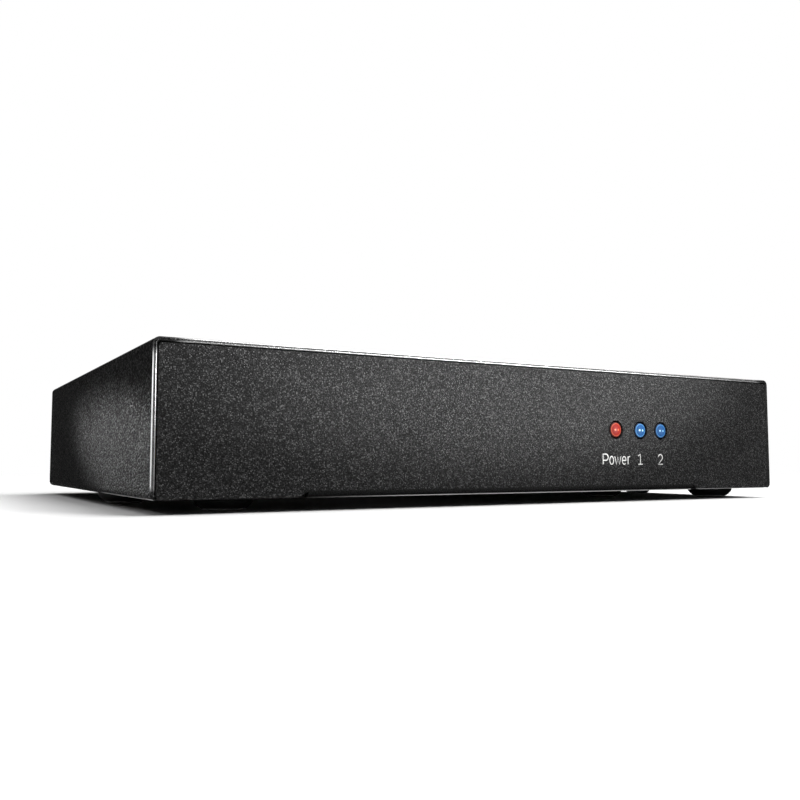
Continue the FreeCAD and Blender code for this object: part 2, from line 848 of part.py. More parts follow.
def make_crystal():
    """The metal can of the clock crystal, beside the splitter chip."""
    x, y = chip_place()
    x -= chip_size
    return prism_along_z(
        cut_rectangle(x - crystal_width / 2, x + crystal_width / 2, y - crystal_length / 2,
                      y + crystal_length / 2, crystal_cut),
        board_top_z, board_top_z + crystal_height)


def make_resistors():
    """Rows of small resistors on the pairs of lines before each socket."""
    y = board_rear_y - resistor_setback
    pieces = []
    for x in socket_places():
        for step in range(resistor_count):
            centre = x + (step - (resistor_count - 1) / 2) * resistor_pitch
            pieces.append(box(centre - resistor_width / 2, centre + resistor_width / 2,
                              y - resistor_length / 2, y + resistor_length / 2,
                              board_top_z, board_top_z + resistor_height))
    return group(pieces)


def all_parts():
    """Every piece of the splitter by name."""
    parts = {
        "wrap_cover": make_wrap_cover(),
        "base_tray": make_base_tray(),
        "rubber_feet": make_rubber_feet(),
        "cover_screws": group([pan_screw(x, y, underside_z, cover_screw_length, -1)
                               for x, y in cover_screw_places()]),
        "board_standoffs": group([make_standoff(x, y) for x, y in standoff_places()]),
        "board_screws": group([pan_screw(x, y, board_top_z, board_screw_length, 1)
                               for x, y in standoff_places()]),
        "circuit_board": make_circuit_board(),
        "power_jack_body": make_jack_body(),
        "power_jack_pin": make_jack_pin(),
        "power_jack_spring": make_jack_spring(),
        "splitter_chip": make_splitter_chip(),
        "memory_chips": make_memory_chips(),
        "filter_capacitors": make_capacitors(),
        "power_inductor": make_inductor(),
        "voltage_regulator": make_regulator(),
        "clock_crystal": make_crystal(),
        "line_resistors": make_resistors(),
    }
    for name, x in zip(("power", "output_1", "output_2"), lamp_places()):
        parts[name + "_lamp"] = make_lamp(x)
        parts[name + "_lamp_leads"] = make_lamp_leads(x)
    for name, x in zip(("input", "output_1", "output_2"), socket_places()):
        parts[name + "_socket_shell"] = make_socket_shell(x)
        parts[name + "_socket_insulator"] = make_socket_insulator(x)
        parts[name + "_socket_contacts"] = make_socket_contacts(x)
        parts[name + "_jack_posts"] = make_jack_posts(x)
    return parts


def main():
    os.makedirs("parts", exist_ok=True)
    for name, shape in all_parts().items():
        shape.exportStep("parts/" + name + ".step")
        print(name, len(shape.Solids), "solids,", round(shape.Volume, 1), "mm3")


main()
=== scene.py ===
# %% [markdown]
# # A two-way DVI splitter in sandy black steel
#
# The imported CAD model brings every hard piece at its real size: the folded case,
# the lamps, the sockets and the board inside.  This file dresses them.  It gives
# each one a finish, rounds the edges that a press would leave, and models the
# few forms that are too fine for CAD: domed feet, screw recesses, threads, lens
# domes and the print under the lamps.  All lengths are in metres.

# %% Load the frame
import bpy
import bmesh
import math
from mathutils import Matrix, Vector


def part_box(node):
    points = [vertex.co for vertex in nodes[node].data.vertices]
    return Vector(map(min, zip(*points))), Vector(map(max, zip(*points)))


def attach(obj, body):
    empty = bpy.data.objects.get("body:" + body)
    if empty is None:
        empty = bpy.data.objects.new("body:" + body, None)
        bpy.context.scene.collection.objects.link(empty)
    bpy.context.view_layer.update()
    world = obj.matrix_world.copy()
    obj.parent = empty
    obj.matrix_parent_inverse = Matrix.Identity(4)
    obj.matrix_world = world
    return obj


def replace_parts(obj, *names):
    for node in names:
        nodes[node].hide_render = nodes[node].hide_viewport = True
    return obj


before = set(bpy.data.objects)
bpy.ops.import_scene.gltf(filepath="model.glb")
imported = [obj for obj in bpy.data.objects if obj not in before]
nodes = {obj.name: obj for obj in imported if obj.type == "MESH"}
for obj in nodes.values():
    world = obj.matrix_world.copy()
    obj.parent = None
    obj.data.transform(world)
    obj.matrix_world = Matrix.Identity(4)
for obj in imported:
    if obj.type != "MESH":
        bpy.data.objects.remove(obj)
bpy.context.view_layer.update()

# %% [markdown]
# Places are read from the frame, so the dressing follows the CAD if it changes.
# A node's box tells where its faces are: the front wall is the lowest y of the
# tray, the ground is zero, and each lamp's axis is the middle of its own box.

# %% Places read from the frame
MM = 0.001
ROOT = "root"


def middle(name):
    """Centre of a node's box."""
    low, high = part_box(name)
    return (low + high) / 2


def span(name):
    """Size of a node's box."""
    low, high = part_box(name)
    return high - low


tray_low, tray_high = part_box("base_tray")
case_low, case_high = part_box("wrap_cover")
front_y, rear_y = tray_low.y, tray_high.y
lamp_names = ("power_lamp", "output_1_lamp", "output_2_lamp")
socket_names = ("input", "output_1", "output_2")
print("front wall at", round(front_y, 5), "rear wall at", round(rear_y, 5))

# %% [markdown]
# Every finish starts from the same few steps, so they are written once.  A socket
# is either given a plain value or linked to another socket, and one helper does
# both.  With it, a node, its settings and its links fit in a single call.

# %% Material helpers


def new_material(name, roughness=0.5, metallic=0.0):
    """A material, its node tree, and its Principled shader."""
    material = bpy.data.materials.new(name)
    material.use_nodes = True
    shader = material.node_tree.nodes["Principled BSDF"]
    shader.inputs["Roughness"].default_value = roughness
    shader.inputs["Metallic"].default_value = metallic
    return material, material.node_tree, shader


def feed(tree, value, socket):
    """Give a socket a plain value, or a link if the value is a socket itself."""
    if isinstance(value, bpy.types.NodeSocket):
        tree.links.new(value, socket)
    else:
        socket.default_value = value


def set_inputs(tree, node, **values):
    """Feed a node's inputs by name; an underscore stands for a space."""
    for key, value in values.items():
        feed(tree, value, node.inputs[key.replace("_", " ")])
    return node


def add(tree, kind, settings=None, **values):
    """A node of one kind; settings are its properties, values feed its inputs."""
    node = tree.nodes.new(kind)
    for key, value in (settings or {}).items():
        setattr(node, key, value)
    return set_inputs(tree, node, **values)


print("helpers ready")

# %% [markdown]
# A finish is built from masks, which are values from 0 to 1.  A ramp turns a
# measure into a mask with a soft edge, a product keeps what lies inside several
# masks at once, and a mask then chooses between two colours.

# %% Mask helpers


def combine(tree, operation, *values):
    """One step of arithmetic on numbers or sockets."""
    node = add(tree, "ShaderNodeMath", {"operation": operation})
    for value, socket in zip(values, node.inputs):
        feed(tree, value, socket)
    return node.outputs[0]


def product(tree, first, *others):
    """Several values multiplied."""
    for value in others:
        first = combine(tree, "MULTIPLY", first, value)
    return first


def ramp(tree, value, start, end, **values):
    """A smooth step from 0 where a value is start to 1 where it is end."""
    step = add(tree, "ShaderNodeMapRange", {"interpolation_type": "SMOOTHSTEP"},
               Value=value, From_Min=start, From_Max=end, **values)
    return step.outputs["Result"]


def spread(tree, value, low, high):
    """Stretch a 0 to 1 value to the range from low to high."""
    step = add(tree, "ShaderNodeMapRange", Value=value, To_Min=low, To_Max=high)
    return step.outputs["Result"]


def mix_colours(tree, mask, below, above):
    """One colour where a mask is 0, the other where it is 1; each a tuple or a socket."""
    mix = add(tree, "ShaderNodeMix", {"data_type": "RGBA"})
    feed(tree, mask, mix.inputs[0])
    for colour, socket in ((below, mix.inputs[6]), (above, mix.inputs[7])):
        feed(tree, (*colour, 1) if isinstance(colour, tuple) else colour, socket)
    return mix.outputs[2]


def raise_surface(tree, height, shader, depth, strength=1.0):
    """Turn a height into a normal for the shader; depth is in metres."""
    bump = add(tree, "ShaderNodeBump", Strength=strength, Distance=depth, Height=height)
    feed(tree, bump.outputs["Normal"], shader.inputs["Normal"])


def grey(level):
    """A neutral colour."""
    return (level, level, level)


print("mask helpers ready")

# %% [markdown]
# Effects that several finishes share are node groups.  A group reads the
# object's own coordinates, so a grain keeps its real size in millimetres on any
# piece, and it gives back only masks and heights.  The first step of each group
# divides the coordinates by the size of one grain.

# %% Group helpers


def object_place(tree):
    """The object's coordinates, which are the case's own, in metres."""
    return add(tree, "ShaderNodeTexCoord").outputs["Object"]


def object_axes(tree):
    """The same, as X, Y and Z."""
    return add(tree, "ShaderNodeSeparateXYZ", Vector=object_place(tree)).outputs


def grain_coordinates(group, size):
    """Object coordinates counted in grains."""
    scaled = add(group, "ShaderNodeVectorMath", {"operation": "SCALE"},
                 Vector=object_place(group), Scale=combine(group, "DIVIDE", 1.0, size))
    return scaled.outputs["Vector"]


def new_group(name, inputs, outputs):
    """An empty group with float sockets: its tree, what comes in, and its output node."""
    group = bpy.data.node_groups.new(name, "ShaderNodeTree")
    for way, labels in (("INPUT", inputs), ("OUTPUT", outputs)):
        for label in labels:
            group.interface.new_socket(name=label, in_out=way, socket_type="NodeSocketFloat")
    return group, group.nodes.new("NodeGroupInput").outputs, group.nodes.new("NodeGroupOutput")


def place_group(tree, group, **values):
    """Put a shared effect into a material with its own values; gives its outputs."""
    return add(tree, "ShaderNodeGroup", {"node_tree": group}, **values).outputs


print("group helpers ready")

# %% [markdown]
# Sandy powder coat is a skin of half-melted grains about a quarter of a
# millimetre across.  Each grain has its own small facet, so beside a dark one
# sits a bright one, and the hollows between them are painted black as shade.
# A soft noise would look like cloud.  Here Voronoi cells are the grains, one
# random value per cell sets how light it is, the tone is also painted darker
# toward each grain's edge as shade, and a second value picks the few grains
# that get a painted glint.

# %% Group: sandy grain
HOLLOW_AT, TOP_AT = 0.8, 0.15  # distance from a grain's middle, in grains
GLINT_FROM = 0.7  # chance value from which a grain begins to glint


def make_sandy_grain():
    group, entry, leave = new_group("sandy_grain", ["Grain Size"], ["Height", "Tone", "Glint"])
    cells = add(group, "ShaderNodeTexVoronoi", Scale=1.0,
                Vector=grain_coordinates(group, entry["Grain Size"])).outputs
    chance = add(group, "ShaderNodeSeparateColor", Color=cells["Color"]).outputs
    tops = ramp(group, cells["Distance"], HOLLOW_AT, TOP_AT)
    # Tone is random per grain and painted darker toward the hollows as shade; Glint marks the
    # grains that get a painted glint.
    set_inputs(group, leave, Height=tops, Tone=product(group, chance[1], tops),
               Glint=product(group, ramp(group, chance[0], GLINT_FROM, 1.0), tops))
    return group


sandy_grain = make_sandy_grain()
print("group", sandy_grain.name, "nodes", len(sandy_grain.nodes))

# %% [markdown]
# Hands leave soft smudges, which change the shine of a surface in patches of some
# millimetres.  A distorted noise with a clear threshold gives such patches.

# %% Group: handling marks
SMUDGE_FROM, SMUDGE_TO = 0.38, 0.66  # noise values between which a smudge begins


def make_handling_marks():
    group, entry, leave = new_group("handling_marks", ["Patch Size"], ["Smudge"])
    smudge = add(group, "ShaderNodeTexNoise", Scale=1.0, Detail=4.0, Distortion=0.6,
                 Vector=grain_coordinates(group, entry["Patch Size"]))
    set_inputs(group, leave, Smudge=ramp(group, smudge.outputs["Fac"], SMUDGE_FROM, SMUDGE_TO))
    return group


handling_marks = make_handling_marks()
print("group", handling_marks.name)

# %% [markdown]
# Turned, drawn and plated metal shows fine lines along the way it was worked.
# The group stretches a noise along y, the direction in which sockets, posts and
# the jack's pin are made, and adds a rub mask for places where plating is worn.

# %% Group: drawn metal
ALONG = (1.0, 0.03, 1.0)  # the noise is stretched about thirty times along y
RUB_FROM, RUB_TO = 0.45, 0.62


def make_drawn_metal():
    group, entry, leave = new_group("drawn_metal", ["Line Width"], ["Line", "Rub"])
    where = grain_coordinates(group, entry["Line Width"])
    stretched = add(group, "ShaderNodeMapping", Scale=ALONG, Vector=where)
    line = add(group, "ShaderNodeTexNoise", Scale=1.0, Detail=3.0, Roughness=0.7,
               Vector=stretched.outputs["Vector"])
    rub = add(group, "ShaderNodeTexNoise", Scale=0.05, Detail=3.0, Vector=where)
    set_inputs(group, leave, Line=line.outputs["Fac"],
               Rub=ramp(group, rub.outputs["Fac"], RUB_FROM, RUB_TO))
    return group


drawn_metal = make_drawn_metal()
print("group", drawn_metal.name)

# %% [markdown]
# Moulded plastic and rubber copy the spark-eroded skin of their mould: a very
# fine, even pitting with slow changes in shade where the melt flowed.

# %% Group: moulded skin


def make_moulded_skin():
    group, entry, leave = new_group("moulded_skin", ["Pit Size"], ["Height", "Flow"])
    where = grain_coordinates(group, entry["Pit Size"])
    pits = add(group, "ShaderNodeTexNoise", Scale=1.0, Detail=2.0, Roughness=0.5, Vector=where)
    flow = add(group, "ShaderNodeTexNoise", Scale=0.02, Detail=2.0, Distortion=1.2, Vector=where)
    set_inputs(group, leave, Height=pits.outputs["Fac"],
               Flow=ramp(group, flow.outputs["Fac"], 0.3, 0.7))
    return group


moulded_skin = make_moulded_skin()
print("group", moulded_skin.name)

# %% [markdown]
# Some places of the case carry painted light and shade.  The fold under the
# front wall, between the wall's two ears, is painted near black as shade.  The
# cut edge of the cover is painted pale as a highlight along the left and the top
# of the front opening, but not at their corner.  Two folds get a painted
# highlight too, in a thin line each.  A zone gives such a place as a few limits
# on the object's coordinates, so it stays where it is from any side.

# %% Zones on the case
EAR_X = 46.3 * MM  # where the front wall's ears end the fold between them
# The face of the cut edge gets a weaker painted highlight than its corners.
FACE_HIGHLIGHT_SHARE = 0.12  # the face of the cut edge is rubbed less than its corners


def zone(tree, axes, *limits):
    """1 inside all limits: axis, edge, and the distances in mm where the mask is 0 and 1."""
    sides = [ramp(tree, axes[axis], edge + outside * MM, edge + inside * MM)
             for axis, edge, outside, inside in limits]
    return product(tree, *sides)


def shaded_fold(tree, axes):
    """The fold under the front wall, between its ears, where shade is painted."""
    return zone(tree, axes, ("X", -EAR_X, 0, 0.4), ("X", EAR_X, 0, -0.4),
                ("Z", case_low.z, 1.3, 1.05), ("Y", case_low.y, 3, 2))


def painted_opening_highlight(tree, axes):
    """The left and the top of the front opening, apart from their corner, where a highlight is
    painted.
    """
    sides = zone(tree, axes, ("Z", case_low.z, 1.2, 2.4), ("X", case_high.x, -2.0, -6.0))
    corner = zone(tree, axes, ("Z", case_high.z, -3.6, -1.4), ("X", case_low.x, 7.0, 3.0))
    return product(tree, sides, combine(tree, "SUBTRACT", 1.0, corner))


def painted_cover_highlight(tree, axes):
    """Painted highlight on the face of the cut edge, and in a thin line along the left fold."""
    face = zone(tree, axes, ("Y", case_low.y, 0.12, 0.04))
    line = zone(tree, axes, ("Z", case_low.z, 0.34, 0.22), ("X", case_low.x, 1.05, 0.85),
                ("Y", 0, -12, -20))
    highlit = product(tree, face, painted_opening_highlight(tree, axes), FACE_HIGHLIGHT_SHARE)
    return combine(tree, "MAXIMUM", highlit, line)


def painted_tray_highlight(tree, axes):
    """A painted highlight in a thin line along the fold under the front wall."""
    return zone(tree, axes, ("Z", tray_low.z, 0.22, 0.12), ("Y", tray_low.y, 1.05, 0.9),
                ("X", 0, -50, -20))


print("zones ready, ears at", round(EAR_X, 5))

# %% [markdown]
# The case is steel under black sandy powder coat.  Base colour runs from
# nearly black in the hollows, which is painted shade, to dark grey on the grain
# tops, with a pale fleck painted as a glint on a few grains.  The hollows are
# rough, because light dies in them, the tops have a soft shine, and the bump
# gives each grain its own slope.  Over this come the painted shade of the front
# fold and the painted highlights along the cut edge and two folds.

# %% Finish: powder coat
GRAIN = 0.22 * MM
# The hollow colour is painted shade and the fleck colour a painted glint.
PAINTED_HOLLOW_SHADE, GRAIN_TOP, PAINTED_GLINT_FLECK = grey(0.001), (0.044, 0.044, 0.045), grey(0.115)
# Both colours below are painted light: near black shade for the front fold, and a pale highlight
# for the cut edge and two folds.
PAINTED_FOLD_SHADE, PAINTED_SHEEN_GREY = grey(0.001), grey(0.6)
ROUGH_HOLLOW, ROUGH_TOP, SMUDGE_DULLS = 0.8, 0.28, 0.05


def make_powder_coat(name, size, relief, gloss, painted_highlight_mask):
    """Sandy coat; the last argument, called with tree and axes, tells where a highlight is painted.
    """
    material, tree, shader = new_material(name)
    grain = place_group(tree, sandy_grain, Grain_Size=size)
    marks = place_group(tree, handling_marks, Patch_Size=12 * MM)
    axes = object_axes(tree)
    # Painted shade in the hollows, then a painted glint on a few grains.
    colour = mix_colours(tree, grain["Tone"], PAINTED_HOLLOW_SHADE, GRAIN_TOP)
    colour = mix_colours(tree, grain["Glint"], colour, PAINTED_GLINT_FLECK)
    # Painted shade: the front fold is painted near black.
    colour = mix_colours(tree, shaded_fold(tree, axes), colour, PAINTED_FOLD_SHADE)
    # Painted highlight: the mask turns the colour pale grey along the cut edge and folds.
    colour = mix_colours(tree, painted_highlight_mask(tree, axes), colour, PAINTED_SHEEN_GREY)
    rough = combine(tree, "MULTIPLY_ADD", marks["Smudge"], SMUDGE_DULLS,
                    spread(tree, grain["Tone"], ROUGH_HOLLOW, ROUGH_TOP))
    set_inputs(tree, shader, Base_Color=colour, Roughness=rough, Specular_IOR_Level=gloss)
    raise_surface(tree, grain["Height"], shader, relief)
    return material


tray_coat = make_powder_coat("powder_coat_tray", GRAIN, relief=0.1 * MM, gloss=0.3,
                             painted_highlight_mask=painted_tray_highlight)
cover_coat = make_powder_coat("powder_coat_cover", 1.6 * GRAIN, relief=0.2 * MM, gloss=0.15,
                              painted_highlight_mask=painted_cover_highlight)
print("finishes", tray_coat.name, cover_coat.name)

# %% [markdown]
# The rounded corners of the cover's cut edge get a material of their own.  Along
# the left and the top of the opening it is bright, slightly smudged steel, painted
# there as a highlight, and elsewhere it is black coat.

# %% Finish: painted edge highlight
# The bright steel colours are a painted highlight; the edge coat is the plain black coat.
PAINTED_GLEAM, SMUDGED_GLEAM, EDGE_COAT = grey(0.9), grey(0.7), grey(0.006)


def make_painted_edge_highlight():
    material, tree, shader = new_material("painted_edge_highlight", 0.32)
    highlit = painted_opening_highlight(tree, object_axes(tree))
    marks = place_group(tree, handling_marks, Patch_Size=3.5 * MM)
    grain = place_group(tree, sandy_grain, Grain_Size=GRAIN)
    gleam = mix_colours(tree, marks["Smudge"], PAINTED_GLEAM, SMUDGED_GLEAM)
    set_inputs(tree, shader, Base_Color=mix_colours(tree, highlit, EDGE_COAT, gleam),
               Metallic=spread(tree, highlit, 0.0, 0.9))
    raise_surface(tree, grain["Height"], shader, 0.02 * MM, 0.3)
    return material


painted_edge_highlight = make_painted_edge_highlight()
print("finish", painted_edge_highlight.name)

# %% [markdown]
# The feet are soft black rubber.  Rubber scatters light evenly, so it is
# rough.  Just above the ground, where a foot curves away from the table, a thin
# pale ring is painted as the highlight on its lower rim.

# %% Finish: rubber
# The pale band is a painted highlight on each foot's lower rim.
RIM_HIGHLIGHT_BAND = (("Z", 0, 0.14, 0.26), ("Z", 0, 0.56, 0.42))  # from the ground up, in mm
RUBBER_DARK, RUBBER_LIGHT, PAINTED_RIM_HIGHLIGHT = grey(0.004), grey(0.01), grey(0.32)


def make_rubber():
    material, tree, shader = new_material("foot_rubber")
    skin = place_group(tree, moulded_skin, Pit_Size=0.18 * MM)
    rubber = mix_colours(tree, skin["Flow"], RUBBER_DARK, RUBBER_LIGHT)
    rim_lit = mix_colours(tree, zone(tree, object_axes(tree), *RIM_HIGHLIGHT_BAND), rubber, PAINTED_RIM_HIGHLIGHT)
    set_inputs(tree, shader, Base_Color=rim_lit, Specular_IOR_Level=0.3,
               Roughness=spread(tree, skin["Height"], 0.55, 0.8))
    raise_surface(tree, skin["Height"], shader, 0.03 * MM, 0.5)
    return material


foot_rubber = make_rubber()
print("finish", foot_rubber.name)

# %% [markdown]
# One function makes all the plated metals: a bright colour, a worn one, and the
# drawn lines that lift the roughness.  Nickel is a warm grey, zinc a cooler one,
# gold yellow, tin soft and pale, and the crystal's can is bright aluminium.

# %% Finish: plated metals
# Each one: bright and worn colour, least and most roughness, width of a line in mm.
PLATED = {
    "nickel_shell": ((0.66, 0.64, 0.6), (0.52, 0.5, 0.47), 0.2, 0.42, 0.12),
    "jack_posts": ((0.7, 0.68, 0.64), (0.55, 0.52, 0.48), 0.14, 0.34, 0.08),
    "zinc_screws": ((0.6, 0.61, 0.62), (0.42, 0.43, 0.44), 0.24, 0.5, 0.15),
    "gold_contacts": ((0.86, 0.63, 0.26), (0.7, 0.5, 0.22), 0.16, 0.34, 0.08),
    "solder_leads": ((0.72, 0.72, 0.71), (0.55, 0.55, 0.55), 0.22, 0.45, 0.1),
    "can_metal": ((0.75, 0.75, 0.76), (0.6, 0.6, 0.61), 0.15, 0.3, 0.2),
}


def make_plated(name, bright, worn, smooth, rough, line_width):
    material, tree, shader = new_material(name, metallic=1.0)
    lines = place_group(tree, drawn_metal, Line_Width=line_width * MM)
    set_inputs(tree, shader, Base_Color=mix_colours(tree, lines["Rub"], bright, worn),
               Roughness=spread(tree, lines["Line"], smooth, rough))
    raise_surface(tree, lines["Line"], shader, 0.012 * MM, 0.35)
    return material


metal = {name: make_plated(name, *values) for name, values in PLATED.items()}
print("plated metals", len(metal))

# %% [markdown]
# The moulded pieces share a function too.  The insulator in each socket is an
# ivory nylon, the jack's body and the chips are black, and the coil is grey.

# %% Finish: moulded plastics
# Each one: light and dark colour, least and most roughness, width and depth of a pit in mm.
MOULDED = {
    "socket_plastic": ((0.78, 0.76, 0.7), (0.7, 0.68, 0.61), 0.38, 0.55, 0.2, 0.02),
    "black_plastic": ((0.022, 0.022, 0.023), (0.014, 0.014, 0.015), 0.32, 0.5, 0.2, 0.03),
    "chip_black": ((0.03, 0.03, 0.032), (0.02, 0.02, 0.021), 0.5, 0.7, 0.08, 0.01),
    "inductor_ferrite": (grey(0.15), grey(0.1), 0.6, 0.8, 0.1, 0.02),
}


def make_moulded(name, light, dark, smooth, rough, pit, depth):
    material, tree, shader = new_material(name)
    skin = place_group(tree, moulded_skin, Pit_Size=pit * MM)
    set_inputs(tree, shader, Base_Color=mix_colours(tree, skin["Flow"], dark, light),
               Roughness=spread(tree, skin["Height"], smooth, rough))
    raise_surface(tree, skin["Height"], shader, depth * MM, 0.5)
    return material


plastic = {name: make_moulded(name, *values) for name, values in MOULDED.items()}
print("moulded plastics", len(plastic))

# %% [markdown]
# The board is green solder mask over copper.  Tracks show through the mask as
# lighter lines; a brick texture with wide gaps gives runs that start and stop
# like routed pairs of tracks.

# %% Finish: circuit board
MASK_GREEN, TRACK_GREEN = (0.012, 0.11, 0.045), (0.03, 0.2, 0.085)


def make_board_green():
    material, tree, shader = new_material("board_green")
    tracks = add(tree, "ShaderNodeTexBrick", {"offset": 0.35, "squash": 1.6, "squash_frequency": 3},
                 Vector=object_place(tree), Scale=260.0, Mortar_Size=0.06, Mortar_Smooth=0.2,
                 Brick_Width=2.4, Row_Height=0.22).outputs["Fac"]
    marks = place_group(tree, handling_marks, Patch_Size=20 * MM)
    set_inputs(tree, shader, Base_Color=mix_colours(tree, tracks, MASK_GREEN, TRACK_GREEN),
               Roughness=spread(tree, marks["Smudge"], 0.24, 0.42))
    raise_surface(tree, tracks, shader, 0.03 * MM, 0.5)
    return material


board_green = make_board_green()
print("finish", board_green.name)

# %% [markdown]
# A lamp is a tinted epoxy lens over a tiny reflector.  Seen from outside, the
# rim of the lens is painted dark as the shadow of its hole, a thin pale ring is
# painted inside it as a highlight, the middle is saturated, and two small bright
# spots are painted glints on the crystal and its wire.  These are masks of the
# distance from the lamp's axis, so they belong to the lens and stay where they
# are from any side.

# %% Group: lens marks
# The two spots are painted glints.
LENS_GLINTS = ((-0.3, 0.0), (0.22, -0.02))  # x and z from the axis, in radii
GLINT_EDGE, GLINT_FULL = 0.17, 0.05


def make_lens_marks():
    group, entry, leave = new_group("lens_marks", ["Centre X", "Centre Z", "Radius"],
                                    ["Ring", "Rim", "Spot", "Cloud"])
    axes = object_axes(group)

    def share(axis):
        """Distance from the lamp's middle along one axis, in radii."""
        away = combine(group, "SUBTRACT", axes[axis], entry["Centre " + axis])
        return combine(group, "DIVIDE", away, entry["Radius"])

    flat = add(group, "ShaderNodeCombineXYZ", X=share("X"), Z=share("Z")).outputs[0]

    def distance_from(x, z):
        gap = add(group, "ShaderNodeVectorMath", {"operation": "DISTANCE"}, Vector=flat)
        gap.inputs[1].default_value = (x, 0, z)
        return gap.outputs["Value"]

    out = distance_from(0, 0)
    glints = [ramp(group, distance_from(x, z), GLINT_EDGE, GLINT_FULL) for x, z in LENS_GLINTS]
    cloud = add(group, "ShaderNodeTexNoise", Scale=1600.0, Detail=2.0, Vector=object_place(group))
    # The rim mask is painted shade, the ring a painted highlight, the spots painted glints.
    set_inputs(group, leave, Rim=ramp(group, out, 0.82, 0.92),
               Ring=product(group, ramp(group, out, 0.7, 0.78), ramp(group, out, 0.88, 0.8)),
               Spot=combine(group, "MAXIMUM", *glints), Cloud=cloud.outputs["Fac"])
    return group


lens_marks = make_lens_marks()
print("group", lens_marks.name)

# %% [markdown]
# The lenses are unlit, so their colour is all that tells red from blue.  The
# epoxy is clouded by a diffuser, and so the lens is nearly matt, with a faint
# soft coat.  The second blue lamp has a weaker painted ring and weaker painted
# glints.

# %% Finish: lamp lenses
# The rim is painted shade, the ring a painted highlight and the spots painted glints.
RIM_SHADE = 0.12  # the rim has this share of the deep colour
RED = (0.14, 0.003, 0.001), (0.24, 0.007, 0.002)
BLUE = (0.001, 0.038, 0.12), (0.002, 0.07, 0.23)


def make_lens(name, lamp, tint, ring, spot):
    """A tinted lens for one lamp, with its painted ring highlight, rim shadow and glints round that
    lamp's axis.
    """
    deep, bright = tint
    centre = middle(lamp)
    material, tree, shader = new_material(name, 0.55)
    marks = place_group(tree, lens_marks, Centre_X=centre.x, Centre_Z=centre.z,
                        Radius=span(lamp).x / 2)
    rim_shadow = tuple(RIM_SHADE * part for part in deep)
    colour = mix_colours(tree, marks["Cloud"], deep, bright)
    for mark, above in (("Ring", ring), ("Rim", rim_shadow), ("Spot", spot)):
        colour = mix_colours(tree, marks[mark], colour, above)
    set_inputs(tree, shader, Base_Color=colour, Specular_IOR_Level=0.2,
               Coat_Weight=0.05, Coat_Roughness=0.2)
    raise_surface(tree, marks["Cloud"], shader, 0.02 * MM, 0.3)
    return material


lens_finish = {
    # Each lens: its tint, the colour of its painted ring highlight, and that of its painted glints.
    "power_lamp": make_lens("red_lamp", "power_lamp", RED, (0.33, 0.06, 0.03), (0.7, 0.12, 0.03)),
    "output_1_lamp": make_lens("blue_lamp_1", "output_1_lamp", BLUE,
                               (0.06, 0.19, 0.39), (0.4, 0.85, 0.95)),
    "output_2_lamp": make_lens("blue_lamp_2", "output_2_lamp", BLUE,
                               (0.045, 0.16, 0.36), (0.22, 0.5, 0.7)),
}
print("lenses", len(lens_finish))

# %% [markdown]
# Print on powder coat is a thin pale ink that sinks a little into the grain, so
# it is not quite white and its edge wavers.

# %% Finish: printed ink
INK_LOW, INK_TOP = (0.55, 0.55, 0.54), (0.75, 0.75, 0.74)


def make_ink():
    material, tree, shader = new_material("label_ink", 0.55)
    grain = place_group(tree, sandy_grain, Grain_Size=GRAIN)
    # The ink's colour follows the grain's tone, which varies at random and is painted darker toward
    # the hollows as shade.
    set_inputs(tree, shader, Base_Color=mix_colours(tree, grain["Tone"], INK_LOW, INK_TOP))
    raise_surface(tree, grain["Height"], shader, 0.04 * MM, 0.4)
    return material


label_ink = make_ink()
print("finish", label_ink.name)

# %% [markdown]
# No real edge is perfectly sharp, and the thin line of light along an edge is
# what tells the eye that a sheet has thickness.  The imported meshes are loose
# triangles, so the modifiers first weld them, then cut a narrow round on every
# edge sharper than 30 degrees, and last weight the normals so that big faces
# stay flat.  The round keeps an even width because loop slide is off; sliding
# along the thin triangles of a flat wall would tear it.

# %% Rounded edges for CAD nodes
SAME_POINT = 0.001 * MM


def soften(name, width, finish, edge_finish=None, segments=2):
    """Finish a CAD node and round its sharp edges with modifiers."""
    node = nodes[name]
    node.data.materials.clear()
    node.data.materials.append(finish)
    if "custom_normal" in node.data.attributes:
        node.data.attributes.remove(node.data.attributes["custom_normal"])
    node.data.shade_smooth()
    weld = node.modifiers.new("weld", "WELD")
    weld.merge_threshold = SAME_POINT
    rounded = node.modifiers.new("rounded", "BEVEL")
    rounded.width = width
    rounded.segments = segments
    rounded.angle_limit = math.radians(30)
    rounded.loop_slide = False
    rounded.use_clamp_overlap = False
    if edge_finish:
        node.data.materials.append(edge_finish)
        rounded.material = 1
    weighted = node.modifiers.new("weighted", "WEIGHTED_NORMAL")
    weighted.keep_sharp = False


soften("wrap_cover", 0.18 * MM, cover_coat, painted_edge_highlight)
soften("base_tray", 0.08 * MM, tray_coat)
print("case softened")

# %% [markdown]
# Behind the case sit the three sockets and the power jack.  A drawn shell has
# wider rounds than a moulded tongue, and a stamped contact has hardly any.

# %% Finishes for the pieces behind the case
for side in socket_names:
    soften(side + "_socket_shell", 0.12 * MM, metal["nickel_shell"])
    soften(side + "_socket_insulator", 0.06 * MM, plastic["socket_plastic"])
    soften(side + "_socket_contacts", 0.05 * MM, metal["gold_contacts"])
soften("power_jack_body", 0.15 * MM, plastic["black_plastic"])
soften("power_jack_pin", 0.15 * MM, metal["solder_leads"])
soften("power_jack_spring", 0.05 * MM, metal["solder_leads"])
for lamp in lamp_names:
    soften(lamp + "_leads", 0.05 * MM, metal["solder_leads"])
print("rear pieces softened", 3 * len(socket_names) + 3 + len(lamp_names))

# %% [markdown]
# The board and what it carries lie inside the closed case, so one narrow round
# of a single segment does for all of them.

